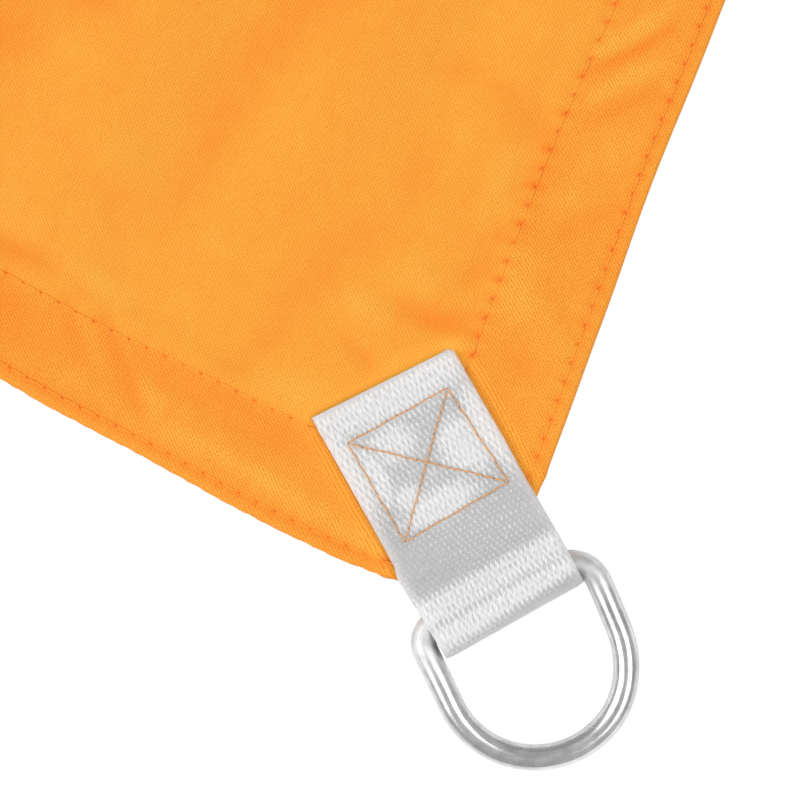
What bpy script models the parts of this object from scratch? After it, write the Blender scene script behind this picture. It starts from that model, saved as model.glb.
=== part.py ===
"""A square shade sail of light woven polyester, laid out flat and seen from above.

The sail is one hemmed cloth with slightly hollow edges. At each corner a strip of white webbing is folded
round the straight bar of a steel D-ring, and its two legs are sewn over and under the corner of the cloth.

Frame: metres, +Z up. The origin is on the surface that the sail lies on, under the middle of the cloth. The
edges run along X and Y. The "south_east" corner, at +X -Y, is the one with the measured unevenness.
"""

import math

import bmesh
import bpy
import numpy as np
from mathutils import Matrix, Vector

# Sail
SIDE = 2.000  # from corner point to corner point, before the corners are trimmed
HALF_SIDE = SIDE / 2
EDGE_HOLLOW = 0.030  # how far the middle of each edge is drawn in
CLOTH_THICKNESS = 0.0010
HEM_THICKNESS = 0.0016
HEM_WIDTH = 0.0220
HEM_STEP_WIDTH = 0.0020  # over which the turned hem thins down to the single cloth
GAP = 0.0003  # between pieces that touch

# Webbing loop
WEBBING_WIDTH = 0.0296
WEBBING_THICKNESS = 0.0012
LEG_LENGTH = 0.0466  # from the ring's bar to the cut end of each leg
NOSE_REACH = 0.0064  # from the ring's bar to the outside of the fold
CUT_SKEW = math.radians(2.7)  # the cut ends are a little out of square
RAMP_START = 0.0088  # from the ring's bar, where the upper leg leaves the cloth and climbs to the bar
CLOTH_END = 0.0080  # from the ring's bar to the trimmed corner of the cloth

# D-ring, its sizes taken on the middle line of the wire
WIRE_RADIUS = 0.0025
RING_HALF_WIDTH = 0.0181
RING_HEIGHT = 0.0339
RING_CORNER_RADIUS = 0.0049

# The stack at a corner, from the surface up: lower leg, cloth, upper leg. The bar lies between the legs.
BAR_CENTRE_Z = WEBBING_THICKNESS + GAP + WIRE_RADIUS
LOOP_RADIUS = WIRE_RADIUS + GAP + WEBBING_THICKNESS / 2
CORNER_LIFT = WEBBING_THICKNESS + GAP
UPPER_LEG_Z = CORNER_LIFT + HEM_THICKNESS + GAP + WEBBING_THICKNESS / 2
LIFT_PLATEAU = 0.024  # distance from a loop's middle line within which the cloth stays fully lifted
LIFT_FADE = 0.060  # distance at which the cloth is down on the surface again

# Each corner: name, outward direction, place of the ring's bar outward and sideways (to the left, looking
# outward) from the corner point, and how far the loop and the ring are turned from the outward direction.
CORNERS = (
    # name, outward_deg, bar_out, bar_side, loop_skew_deg, ring_skew_deg
    ("south_east", -45.0, -0.0066, 0.0060, 8.4, 4.3),
    ("north_east", 45.0, -0.0062, -0.0030, -4.4, -1.6),
    ("north_west", 135.0, -0.0065, 0.0048, 6.6, 3.2),
    ("south_west", 225.0, -0.0063, -0.0042, -5.8, -2.4),
)

# Soft folds where the slack cloth stands off the surface: the two ends of each crest, height and half width.
FOLDS = (
    # from_x, from_y, to_x, to_y, height, half_width
    (-0.80, -0.50, -0.24, -0.34, 0.014, 0.13),
    (-0.66, 0.10, -0.02, 0.50, 0.016, 0.15),
    (0.34, -0.46, 0.62, 0.14, 0.014, 0.13),
    (-0.36, -0.86, 0.18, -0.64, 0.010, 0.12),
    (0.84, 0.82, 0.42, 0.52, 0.012, 0.11),
    (-0.86, 0.84, -0.54, 0.50, 0.011, 0.11),
    (0.08, 0.66, -0.14, 1.02, 0.012, 0.12),
    (0.74, 0.30, 1.02, 0.42, 0.010, 0.12),
    (-1.02, -0.10, -0.74, -0.04, 0.011, 0.12),
    (0.52, -0.80, 0.70, -0.58, 0.008, 0.12),
    (0.22, 0.40, 0.50, 0.28, 0.009, 0.12),
    (-0.58, -1.02, -0.62, -0.76, 0.008, 0.10),
    # the low swells in the measured corner
    (0.893, -0.840, 0.892, -0.958, 0.0018, 0.020),
    (0.938, -0.840, 0.930, -0.938, 0.0020, 0.018),
    (0.964, -0.840, 0.963, -0.926, 0.0012, 0.013),
)

# Waves in the two edges of the measured corner: distance of each from the corner, half length, and how far
# it stands out (+) or in (-) from the even curve of the edge.
EAST_EDGE_WAVES = (
    # along, half_length, outward
    (0.093, 0.030, -0.0005),
    (0.035, 0.026, 0.0003),
)
SOUTH_EDGE_WAVES = (
    # along, half_length, outward
    (0.120, 0.030, -0.0011),
    (0.050, 0.030, 0.0006),
    (0.012, 0.022, -0.0016),
)

# Distances from an edge of the lines that the cloth is divided on: a coarse set, and a fine one for the two
# edges at the measured corner. Between them the lines are evenly spaced.
COARSE_LINES = (0.0, 0.011, 0.022, 0.024, 0.040, 0.060, 0.090, 0.130)
FINE_LINES = (0.0, 0.011, 0.022, 0.024, 0.033, 0.044, 0.056, 0.068, 0.080, 0.093, 0.107, 0.122, 0.140, 0.160)
LINE_SPACING = 0.072

# Finish: colour, roughness, metallic
CLOTH_FINISH = ((0.97, 0.37, 0.04, 1.0), 0.75, 0.0)
WEBBING_FINISH = ((0.74, 0.74, 0.74, 1.0), 0.45, 0.0)
STEEL_FINISH = ((0.60, 0.60, 0.59, 1.0), 0.28, 1.0)


def clear_scene():
    for scene_object in list(bpy.data.objects):
        bpy.data.objects.remove(scene_object)


def new_collection(name):
    collection = bpy.data.collections.new(name)
    bpy.context.scene.collection.children.link(collection)
    return collection


def principled(name, finish):
    colour, roughness, metallic = finish
    material = bpy.data.materials.new(name)
    material.use_nodes = True
    shader = material.node_tree.nodes["Principled BSDF"]
    shader.inputs["Base Color"].default_value = colour
    shader.inputs["Roughness"].default_value = roughness
    shader.inputs["Metallic"].default_value = metallic
    return material


def smooth_bump(distance, half_width):
    """1 at the middle, 0 at half_width and beyond, with soft shoulders."""
    if distance >= half_width:
        return 0.0
    return 0.5 + 0.5 * math.cos(math.pi * distance / half_width)


def place_along(point, start, end):
    """How far along the line from start to end the point lies (0 to 1), and its distance from that line."""
    line = end - start
    share = (point - start).dot(line) / line.length_squared
    share = min(max(share, 0.0), 1.0)
    return share, (point - start - line * share).length


def corner_point(outward_deg):
    outward = math.radians(outward_deg)
    return Vector((math.copysign(HALF_SIDE, math.cos(outward)), math.copysign(HALF_SIDE, math.sin(outward))))


def corner_place(corner, out, side):
    """A point given outward and sideways from the corner point."""
    outward = math.radians(corner[1])
    direction = Vector((math.cos(outward), math.sin(outward)))
    return corner_point(corner[1]) + direction * out + Vector((-direction.y, direction.x)) * side


def loop_line(corner):
    """The ring's bar centre and the direction in which the webbing loop points, in plan."""
    name, outward_deg, bar_out, bar_side, loop_skew_deg, ring_skew_deg = corner
    heading = math.radians(outward_deg + loop_skew_deg)
    return corner_place(corner, bar_out, bar_side), Vector((math.cos(heading), math.sin(heading)))


def edge_waves(waves, along):
    total = 0.0
    for centre, half_length, outward in waves:
        total += outward * smooth_bump(abs(along - centre), half_length)
    return total


def edge_inset(along, near_corner, waves):
    """How far an edge is drawn in at a place along it. near_corner is the end where its waves are."""
    hollow = EDGE_HOLLOW * (1 - (along / HALF_SIDE) ** 2)
    return hollow - edge_waves(waves, abs(along - near_corner))


def insets(x, y):
    """The inset of the east or west edge at y, and of the north or south edge at x."""
    sideways = edge_inset(y, -HALF_SIDE, EAST_EDGE_WAVES if x > 0 else ())
    lengthways = edge_inset(x, HALF_SIDE, SOUTH_EDGE_WAVES if y < 0 else ())
    return sideways, lengthways


def corner_lift(point):
    """How far the lower legs of the loops lift the cloth off the surface."""
    lift = 0.0
    for corner in CORNERS:
        bar_centre, heading = loop_line(corner)
        distance = place_along(point, bar_centre, bar_centre - heading * LEG_LENGTH)[1]
        fade = smooth_bump(max(distance - LIFT_PLATEAU, 0.0), LIFT_FADE - LIFT_PLATEAU)
        lift = max(lift, CORNER_LIFT * fade)
    return lift


def fold_height(point):
    height = 0.0
    for from_x, from_y, to_x, to_y, crest, half_width in FOLDS:
        share, distance = place_along(point, Vector((from_x, from_y)), Vector((to_x, to_y)))
        along_crest = 0.55 + 0.45 * math.sin(math.pi * share)
        height = max(height, crest * along_crest * smooth_bump(distance, half_width))
    return height


def cloth_point(x, y):
    """Where a point of the plain square lies in the sail: drawn in at the edges and lifted off the surface."""
    sideways, lengthways = insets(x, y)
    point = Vector((x * (1 - sideways / HALF_SIDE), y * (1 - lengthways / HALF_SIDE)))
    return Vector((point.x, point.y, max(corner_lift(point), fold_height(point))))


def division_lines(low_lines, high_lines):
    """Lines across the square: near its low edge, evenly over the middle, and near its high edge."""
    low = [-HALF_SIDE + distance for distance in low_lines]
    high = [HALF_SIDE - distance for distance in reversed(high_lines)]
    spans = round((high[0] - low[-1]) / LINE_SPACING)
    return low + list(np.linspace(low[-1], high[0], spans + 1)[1:-1]) + high


def hem_share(x, y):
    """1 in the hem, 0 in the single cloth."""
    sideways, lengthways = insets(x, y)
    from_edge = min(HALF_SIDE - sideways - abs(x), HALF_SIDE - lengthways - abs(y))
    return min(max((HEM_WIDTH + HEM_STEP_WIDTH - from_edge) / HEM_STEP_WIDTH, 0.0), 1.0)


def make_cloth(collection, material):
    """The hemmed cloth: a grid on the division lines, trimmed at its corners and thickened upward."""
    across = division_lines(COARSE_LINES, FINE_LINES)
    up = division_lines(FINE_LINES, COARSE_LINES)
    cells_across, cells_up = len(across) - 1, len(up) - 1
    cloth = bmesh.new()
    bmesh.ops.create_grid(cloth, x_segments=cells_across, y_segments=cells_up, size=1)
    for vertex in cloth.verts:
        column = round((vertex.co.x + 1) / 2 * cells_across)
        row = round((vertex.co.y + 1) / 2 * cells_up)
        vertex.co = cloth_point(across[column], up[row])
    for corner in CORNERS:
        bar_centre, heading = loop_line(corner)
        everything = cloth.verts[:] + cloth.edges[:] + cloth.faces[:]
        bmesh.ops.bisect_plane(
            cloth,
            geom=everything,
            dist=1e-6,
            plane_co=(bar_centre - heading * CLOTH_END).to_3d(),
            plane_no=heading.to_3d(),
            clear_outer=True,
        )
    mesh = bpy.data.meshes.new("sail_cloth")
    cloth.to_mesh(mesh)
    cloth.free()
    mesh.materials.append(material)
    sail = bpy.data.objects.new("sail_cloth", mesh)
    collection.objects.link(sail)

    hem = sail.vertex_groups.new(name="hem")
    for vertex in mesh.vertices:
        hem.add([vertex.index], hem_share(vertex.co.x, vertex.co.y), "REPLACE")
    thicken = sail.modifiers.new("thicken", "SOLIDIFY")
    thicken.thickness = HEM_THICKNESS
    thicken.offset = 1.0
    thicken.vertex_group = "hem"
    thicken.thickness_vertex_group = CLOTH_THICKNESS / HEM_THICKNESS


def loop_path():
    """The middle line of the webbing's thickness: (distance outward from the bar, height, bar share).

    The bar share is 1 where the webbing climbs over the bar and so runs parallel to it, and 0 elsewhere.
    """
    steps_round_nose = 12
    steps_over_bar = 3
    nose_centre = NOSE_REACH - LOOP_RADIUS - WEBBING_THICKNESS / 2
    climb = math.asin(LOOP_RADIUS / RAMP_START)
    path = [(-LEG_LENGTH, UPPER_LEG_Z, 0), (-LEG_LENGTH / 2, UPPER_LEG_Z, 0), (-RAMP_START, UPPER_LEG_Z, 1)]
    for step in range(steps_over_bar + 1):
        angle = climb * (1 - step / steps_over_bar)
        path.append((-LOOP_RADIUS * math.sin(angle), BAR_CENTRE_Z + LOOP_RADIUS * math.cos(angle), 1))
    for step in range(steps_round_nose + 1):
        angle = math.pi * step / steps_round_nose
        out = nose_centre + LOOP_RADIUS * math.sin(angle)
        path.append((out, BAR_CENTRE_Z + LOOP_RADIUS * math.cos(angle), 0))
    lower_leg_z = BAR_CENTRE_Z - LOOP_RADIUS
    path += [(-LEG_LENGTH / 2, lower_leg_z, 0), (-LEG_LENGTH, lower_leg_z, 0)]
    return path


def make_loop(corner, collection, material):
    """A strip of webbing folded round the ring's bar: its path swept across the width, then thickened."""
    name, outward_deg, bar_out, bar_side, loop_skew_deg, ring_skew_deg = corner
    bar_slant = math.tan(math.radians(ring_skew_deg - loop_skew_deg))
    strips_across = 4
    path = loop_path()
    strip = bmesh.new()
    front = [strip.verts.new((out, -WEBBING_WIDTH / 2, height)) for out, height, bar_share in path]
    edges = [strip.edges.new(pair) for pair in zip(front, front[1:])]
    for _ in range(strips_across):
        swept = bmesh.ops.extrude_edge_only(strip, edges=edges)["geom"]
        moved = [piece for piece in swept if isinstance(piece, bmesh.types.BMVert)]
        edges = [piece for piece in swept if isinstance(piece, bmesh.types.BMEdge)]
        bmesh.ops.translate(strip, verts=moved, vec=(0, WEBBING_WIDTH / strips_across, 0))
    for vertex in strip.verts:
        nearest = min(path, key=lambda place: math.hypot(place[0] - vertex.co.x, place[1] - vertex.co.z))
        cut_share = 1 if nearest[0] == -LEG_LENGTH else 0
        vertex.co.x += vertex.co.y * (math.tan(CUT_SKEW) * cut_share - bar_slant * nearest[2])
    bmesh.ops.recalc_face_normals(strip, faces=strip.faces)
    mesh = bpy.data.meshes.new("corner_loop_" + name)
    strip.to_mesh(mesh)
    strip.free()
    mesh.materials.append(material)
    mesh.shade_smooth()
    mesh.set_sharp_from_angle(angle=math.radians(40))
    loop = bpy.data.objects.new(mesh.name, mesh)
    collection.objects.link(loop)
    bar_centre, heading = loop_line(corner)
    loop.location = bar_centre.to_3d()
    loop.rotation_euler.z = math.atan2(heading.y, heading.x)
    thicken = loop.modifiers.new("thicken", "SOLIDIFY")
    thicken.thickness = WEBBING_THICKNESS
    thicken.offset = 0.0
    thicken.use_even_offset = True


def ring_path():
    """The middle line of the D: the bar along Y through the origin, the round end towards +X."""
    corner_steps = 5
    half_circle_steps = 18
    corner_y = RING_HALF_WIDTH - RING_CORNER_RADIUS
    round_centre_x = RING_HEIGHT - RING_HALF_WIDTH
    right_corner = []
    for step in range(corner_steps + 1):
        angle = math.pi / 2 * step / corner_steps
        right_corner.append(
            (RING_CORNER_RADIUS * (1 - math.cos(angle)), -corner_y - RING_CORNER_RADIUS * math.sin(angle))
        )
    round_end = []
    for step in range(half_circle_steps + 1):
        angle = -math.pi / 2 + math.pi * step / half_circle_steps
        round_end.append(
            (round_centre_x + RING_HALF_WIDTH * math.cos(angle), RING_HALF_WIDTH * math.sin(angle))
        )
    left_corner = [(x, -y) for x, y in reversed(right_corner)]
    return right_corner + round_end + left_corner


def make_ring(corner, collection, material):
    """A D-ring of round wire. Its bar lies in the loop and its round end rests on the surface."""
    name, outward_deg, bar_out, bar_side, loop_skew_deg, ring_skew_deg = corner
    curve = bpy.data.curves.new("d_ring_" + name, "CURVE")
    curve.dimensions = "3D"
    curve.bevel_depth = WIRE_RADIUS
    curve.bevel_resolution = 3
    points = ring_path()
    wire = curve.splines.new("POLY")
    wire.points.add(len(points) - 1)
    for spline_point, (x, y) in zip(wire.points, points):
        spline_point.co = (x, y, 0, 1)
    wire.use_cyclic_u = True
    curve.materials.append(material)
    ring = bpy.data.objects.new(curve.name, curve)
    collection.objects.link(ring)
    droop = math.asin((BAR_CENTRE_Z - WIRE_RADIUS) / RING_HEIGHT)
    heading = math.radians(outward_deg + ring_skew_deg)
    place = corner_place(corner, bar_out, bar_side).to_3d()
    place.z = BAR_CENTRE_Z
    ring.matrix_world = (
        Matrix.Translation(place) @ Matrix.Rotation(heading, 4, "Z") @ Matrix.Rotation(droop, 4, "Y")
    )


def build():
    clear_scene()
    sail = new_collection("shade_sail")
    cloth_material = principled("orange_cloth", CLOTH_FINISH)
    webbing_material = principled("white_webbing", WEBBING_FINISH)
    steel_material = principled("ring_steel", STEEL_FINISH)
    make_cloth(sail, cloth_material)
    for corner in CORNERS:
        make_loop(corner, sail, webbing_material)
        make_ring(corner, sail, steel_material)


build()
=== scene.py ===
"""The finish of a square orange shade sail: woven cloth, sewn hems, webbing corner loops and steel D-rings.

Everything is in metres in the frame of the CAD: +Z up, the sail lying on Z = 0, its middle over the origin.
"""

import math

import bmesh
import bpy
import numpy as np
from mathutils import Matrix, Vector


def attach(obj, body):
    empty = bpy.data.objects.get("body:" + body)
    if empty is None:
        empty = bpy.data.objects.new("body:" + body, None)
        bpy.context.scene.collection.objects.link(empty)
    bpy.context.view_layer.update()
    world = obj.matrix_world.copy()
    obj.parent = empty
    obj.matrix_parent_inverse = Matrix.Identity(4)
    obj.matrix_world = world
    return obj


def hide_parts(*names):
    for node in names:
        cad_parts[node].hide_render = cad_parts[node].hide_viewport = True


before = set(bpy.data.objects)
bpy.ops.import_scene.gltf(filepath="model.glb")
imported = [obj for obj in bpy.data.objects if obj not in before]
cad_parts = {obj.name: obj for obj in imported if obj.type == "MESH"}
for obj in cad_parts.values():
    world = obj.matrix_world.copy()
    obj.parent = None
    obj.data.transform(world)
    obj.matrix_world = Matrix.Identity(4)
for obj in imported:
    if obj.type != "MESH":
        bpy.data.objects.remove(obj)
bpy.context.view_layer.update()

# ---------------------------------------------------------------------------------------------------------
# Camera. It looks straight down on the south-east corner, turned so that the corner points to the lower
# right. 100 mm lens, sharp all over.
CAMERA_OVER = (0.96653, -0.96516)
CAMERA_HEIGHT = 0.4349
CAMERA_TURN = math.radians(24.1)


def new_object(name, data):
    """An object in the scene."""
    made = bpy.data.objects.new(name, data)
    bpy.context.scene.collection.objects.link(made)
    return made


camera_data = bpy.data.cameras.new("camera")
camera_data.lens = 100.0
camera_data.sensor_width = 36.0
camera_data.clip_start = 0.05
camera_data.clip_end = 100.0
camera = new_object("camera", camera_data)
camera.location = (*CAMERA_OVER, CAMERA_HEIGHT)
camera.rotation_euler = (0.0, 0.0, CAMERA_TURN)
bpy.context.scene.camera = camera
bpy.context.scene.view_settings.view_transform = "Standard"

# ---------------------------------------------------------------------------------------------------------
# Studio. A white sweep that stays plain white right up to the sail, a pale even room, and two large soft
# boxes that stand to the left and right of the picture and run down the sides of the steel wire.
WHITE = (1.0, 1.0, 1.0, 1.0)
BLACK = (0.0, 0.0, 0.0, 1.0)
FLOOR_SIDE = 60.0
FLOOR_COLOUR = (0.85, 0.85, 0.85, 1.0)
ROOM_STRENGTH = 0.46
LIGHT_DISTANCE = 9.0
SOFT_BOXES = (
    # name, side of the picture, degrees off zenith, width, length, place up the picture, watts
    ("soft_box_left", -1, 48.0, 6.2, 9.6, -0.60, 470.0),
    ("soft_box_right", 1, 32.0, 4.6, 5.9, -1.05, 235.0),
)
OVERHEAD_SIDE = 4.0
OVERHEAD_WATTS = 140.0


def finished_mesh(name, shape):
    """The shape as a mesh."""
    mesh = bpy.data.meshes.new(name)
    shape.to_mesh(mesh)
    shape.free()
    return mesh


def new_floor(name, height):
    """A square of floor, and its shader's sockets."""
    shape = bmesh.new()
    bmesh.ops.create_grid(shape, x_segments=1, y_segments=1, size=FLOOR_SIDE / 2)
    bmesh.ops.translate(shape, verts=shape.verts, vec=(0, 0, height))
    mesh = finished_mesh(name, shape)
    material = bpy.data.materials.new(name)
    material.use_nodes = True
    mesh.materials.append(material)
    floor = new_object(name, mesh)
    return floor, material.node_tree.nodes["Principled BSDF"].inputs


def new_light(name, width, length, watts):
    """A rectangular area light that the camera doesn't see."""
    light = bpy.data.lights.new(name, "AREA")
    light.shape = "RECTANGLE"
    light.size = width
    light.size_y = length
    light.energy = watts
    lamp = new_object(name, light)
    lamp.visible_camera = False
    return lamp


# the floor as it is seen: plain white, without light of its own on the sail
white_sweep, sweep_sockets = new_floor("white_sweep", -0.0004)
sweep_sockets["Base Color"].default_value = BLACK
sweep_sockets["Specular IOR Level"].default_value = 0.0
sweep_sockets["Emission Color"].default_value = WHITE
sweep_sockets["Emission Strength"].default_value = 1.0
white_sweep.visible_diffuse = False
white_sweep.visible_glossy = False
white_sweep.visible_transmission = False
white_sweep.visible_shadow = False
# the floor as it lights the sail from below and shows in the steel
pale_floor, pale_sockets = new_floor("pale_floor", -0.0006)
pale_sockets["Base Color"].default_value = FLOOR_COLOUR
pale_sockets["Roughness"].default_value = 0.9
pale_floor.visible_camera = False

room = bpy.data.worlds.new("room")
room.use_nodes = True
room.node_tree.nodes["Background"].inputs["Color"].default_value = WHITE
room.node_tree.nodes["Background"].inputs["Strength"].default_value = ROOM_STRENGTH
bpy.context.scene.world = room

across_picture = Vector((math.cos(CAMERA_TURN), math.sin(CAMERA_TURN), 0.0))
up_picture = Vector((-math.sin(CAMERA_TURN), math.cos(CAMERA_TURN), 0.0))
for name, side, off_zenith, width, length, place_up, watts in SOFT_BOXES:
    soft_box = new_light(name, width, length, watts)
    tilt = math.radians(off_zenith)
    towards = across_picture * side * math.sin(tilt) + Vector((0, 0, math.cos(tilt)))
    soft_box.location = Vector((*CAMERA_OVER, 0.0)) + towards * LIGHT_DISTANCE + up_picture * place_up
    turn = Matrix((up_picture.cross(towards), up_picture, towards)).transposed()
    soft_box.rotation_euler = turn.to_euler()

overhead = new_light("overhead", OVERHEAD_SIDE, OVERHEAD_SIDE, OVERHEAD_WATTS)
overhead.location = (*CAMERA_OVER, LIGHT_DISTANCE)
overhead.visible_glossy = False

# ---------------------------------------------------------------------------------------------------------
# The cloth. One square of light orange polyester twill with slightly hollow edges, laid out flat and slack,
# so that soft folds stand in it. Its hem is turned twice and sewn down, which makes it three layers thick.
HALF_SIDE = 1.0
EDGE_HOLLOW = 0.030
CLOTH_THICKNESS = 0.0010
HEM_THICKNESS = 0.0016
HEM_WIDTH = 0.0220
HEM_STEP_WIDTH = 0.0050
EDGE_ROUNDING = 0.0008
EDGE_THINNING = 0.22  # share of the hem's thickness that is lost at the very edge
GAP = 0.0003
WEBBING_THICKNESS = 0.0012
LEG_LENGTH = 0.0466
CLOTH_END = 0.0080
CORNER_LIFT = WEBBING_THICKNESS + GAP
LIFT_PLATEAU = 0.024
LIFT_FADE = 0.060
CORNERS = (
    # name, outward_deg, bar_out, bar_side, loop_skew_deg, ring_skew_deg
    ("south_east", -45.0, -0.0066, 0.0060, 8.4, 4.3),
    ("north_east", 45.0, -0.0062, -0.0030, -4.4, -1.6),
    ("north_west", 135.0, -0.0065, 0.0048, 6.6, 3.2),
    ("south_west", 225.0, -0.0063, -0.0042, -5.8, -2.4),
)
FOLDS = (
    # from_x, from_y, to_x, to_y, height, half_width
    (-0.80, -0.50, -0.24, -0.34, 0.014, 0.13),
    (-0.66, 0.10, -0.02, 0.50, 0.016, 0.15),
    (0.34, -0.46, 0.62, 0.14, 0.014, 0.13),
    (-0.36, -0.86, 0.18, -0.64, 0.010, 0.12),
    (0.84, 0.82, 0.42, 0.52, 0.012, 0.11),
    (-0.86, 0.84, -0.54, 0.50, 0.011, 0.11),
    (0.08, 0.66, -0.14, 1.02, 0.012, 0.12),
    (0.74, 0.30, 1.02, 0.42, 0.010, 0.12),
    (-1.02, -0.10, -0.74, -0.04, 0.011, 0.12),
    (0.52, -0.80, 0.70, -0.58, 0.008, 0.12),
    (0.22, 0.40, 0.50, 0.28, 0.009, 0.12),
    (-0.58, -1.02, -0.62, -0.76, 0.008, 0.10),
    (0.893, -0.840, 0.892, -0.958, 0.0018, 0.020),
    (0.938, -0.840, 0.930, -0.938, 0.0020, 0.018),
    (0.964, -0.840, 0.963, -0.926, 0.0012, 0.013),
)
FOLD_END_SHARE = 0.55  # of a fold's height, left at its two ends
EAST_EDGE_WAVES = (
    # along, half_length, outward
    (0.093, 0.030, -0.0005),
    (0.035, 0.026, 0.0003),
)
SOUTH_EDGE_WAVES = (
    # along, half_length, outward
    (0.120, 0.030, -0.0011),
    (0.050, 0.030, 0.0006),
    (0.012, 0.022, -0.0016),
)
CREASE_END_SHARE = 0.6  # of a crease's height, left at its two ends
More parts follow.
